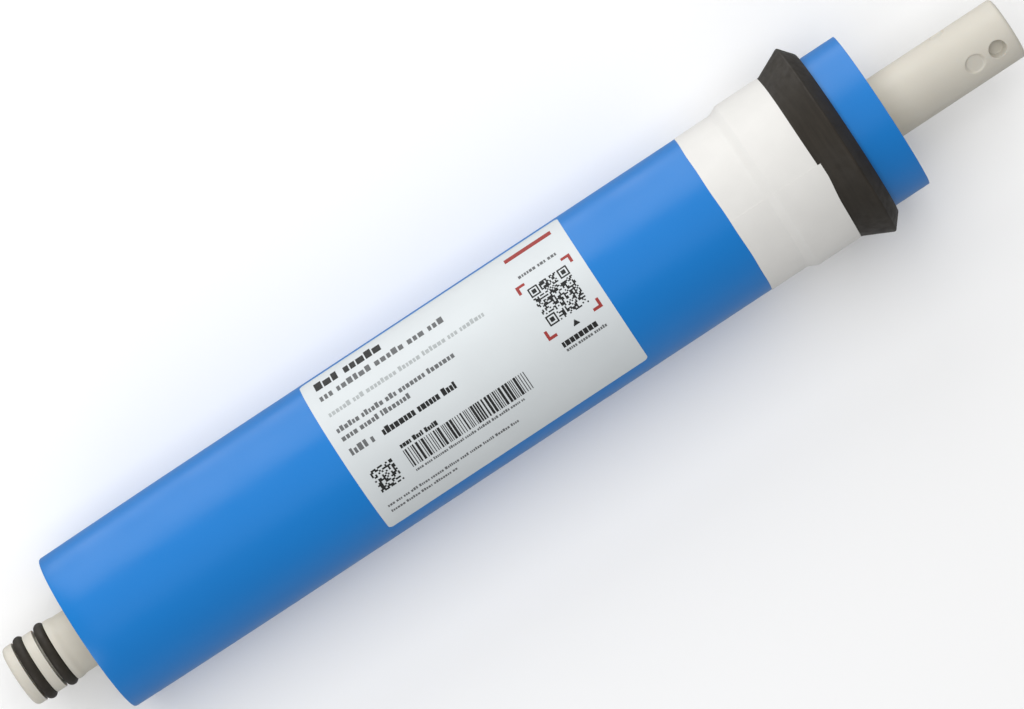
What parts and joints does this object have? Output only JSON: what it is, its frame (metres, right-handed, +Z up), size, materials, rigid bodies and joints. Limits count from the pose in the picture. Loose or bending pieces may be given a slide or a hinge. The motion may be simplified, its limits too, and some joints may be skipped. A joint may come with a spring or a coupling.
{
  "type": "reverse osmosis membrane element",
  "caption": "Spiral-wound membrane roll in a blue wrap on a white permeate tube, with an O-ring spigot and a rubber brine seal held by white tape.",
  "frame": {"origin": "on the ground plane, under the middle of the element's length, as it lies on its side", "axes": "+X along the element from the spigot towards the brine seal and the far tube end, +Z up; the element's own axis rises 1.3 degrees towards +X, because it rests on the seal's lip"},
  "size_m": [0.2982, 0.0548, 0.0548],
  "materials": {
    "moulded_plastic": "satin warm white moulding",
    "o_ring_rubber": "smooth black rubber",
    "membrane_sheet": "pale sheet edges set in glue",
    "spacer_net": "pale diamond net",
    "blue_wrap": "satin blue film tape",
    "seal_rubber": "matt black rubber",
    "white_tape": "satin white film tape",
    "label_film": "satin white label"
  },
  "bodies": {
    "root": {"permeate_tube": "moulded_plastic", "outer_o_ring": "o_ring_rubber", "inner_o_ring": "o_ring_rubber", "membrane_envelope": "membrane_sheet", "feed_spacer": "spacer_net", "body_wrap": "blue_wrap", "brine_seal": "seal_rubber", "seal_tape": "white_tape", "label": "label_film"}
  },
  "joints": []
}
